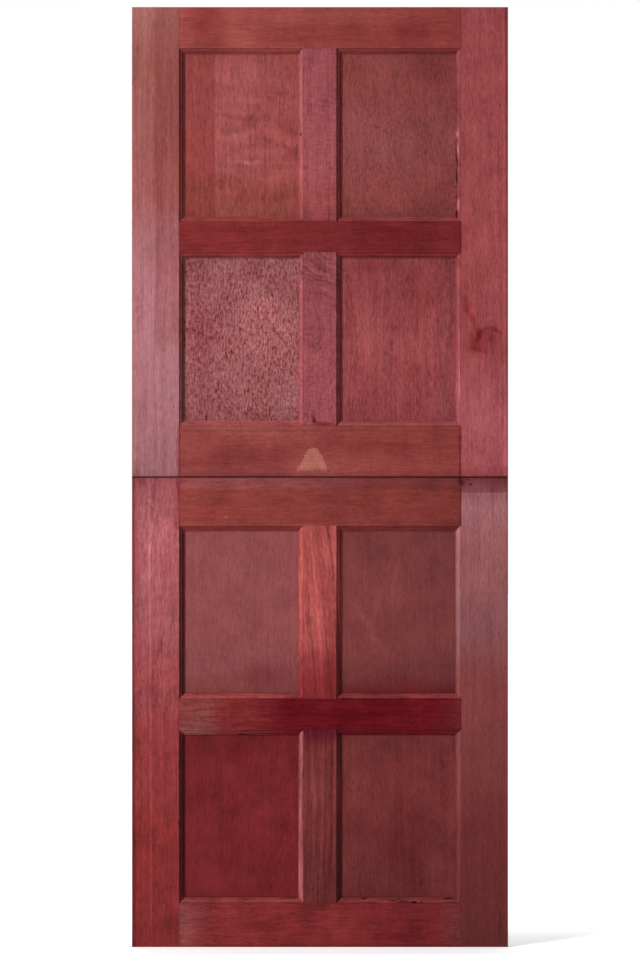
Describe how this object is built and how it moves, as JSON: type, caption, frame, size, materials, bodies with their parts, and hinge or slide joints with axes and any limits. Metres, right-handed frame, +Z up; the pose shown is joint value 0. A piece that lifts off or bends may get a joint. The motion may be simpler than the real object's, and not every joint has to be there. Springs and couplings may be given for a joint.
{
  "type": "two-leaf panel door",
  "caption": "Red-stained hardwood stable door: an upper and a lower leaf, each a moulded stile-and-rail frame round flat recessed panels.",
  "frame": {"origin": "middle of the door's bottom edge, halfway through its thickness", "axes": "+Z up the door, +X to the right seen from the front, front face towards -Y"},
  "size_m": [0.813, 0.044, 2.032],
  "materials": {
    "stile_wood": "red-stained open-grain hardwood, satin oil, haze where it is worn",
    "rail_wood": "red-stained open-grain hardwood, satin oil",
    "muntin_wood": "red-stained open-grain hardwood, satin oil",
    "panel_wood": "red-stained figured hardwood, satin oil",
    "dowel_wood": "bare fluted beech"
  },
  "bodies": {
    "root": {"lower_left_stile": "stile_wood", "lower_right_stile": "stile_wood", "lower_bottom_rail": "rail_wood", "lower_bottom_rail_dowels": "dowel_wood", "lower_middle_rail": "rail_wood", "lower_middle_rail_dowels": "dowel_wood", "lower_meeting_rail": "rail_wood", "lower_meeting_rail_dowels": "dowel_wood", "lower_bottom_muntin": "muntin_wood", "lower_bottom_muntin_dowels": "dowel_wood", "lower_top_muntin": "muntin_wood", "lower_top_muntin_dowels": "dowel_wood", "lower_bottom_left_panel": "panel_wood", "lower_bottom_right_panel": "panel_wood", "lower_top_left_panel": "panel_wood", "lower_top_right_panel": "panel_wood", "upper_left_stile": "stile_wood", "upper_right_stile": "stile_wood", "upper_meeting_rail": "rail_wood", "upper_meeting_rail_dowels": "dowel_wood", "upper_middle_rail": "rail_wood", "upper_middle_rail_dowels": "dowel_wood", "upper_top_rail": "rail_wood", "upper_top_rail_dowels": "dowel_wood", "upper_bottom_muntin": "muntin_wood", "upper_bottom_muntin_dowels": "dowel_wood", "upper_top_muntin": "muntin_wood", "upper_top_muntin_dowels": "dowel_wood", "upper_bottom_left_panel": "panel_wood", "upper_bottom_right_panel": "panel_wood", "upper_top_left_panel": "panel_wood", "upper_top_right_panel": "panel_wood"}
  },
  "joints": []
}
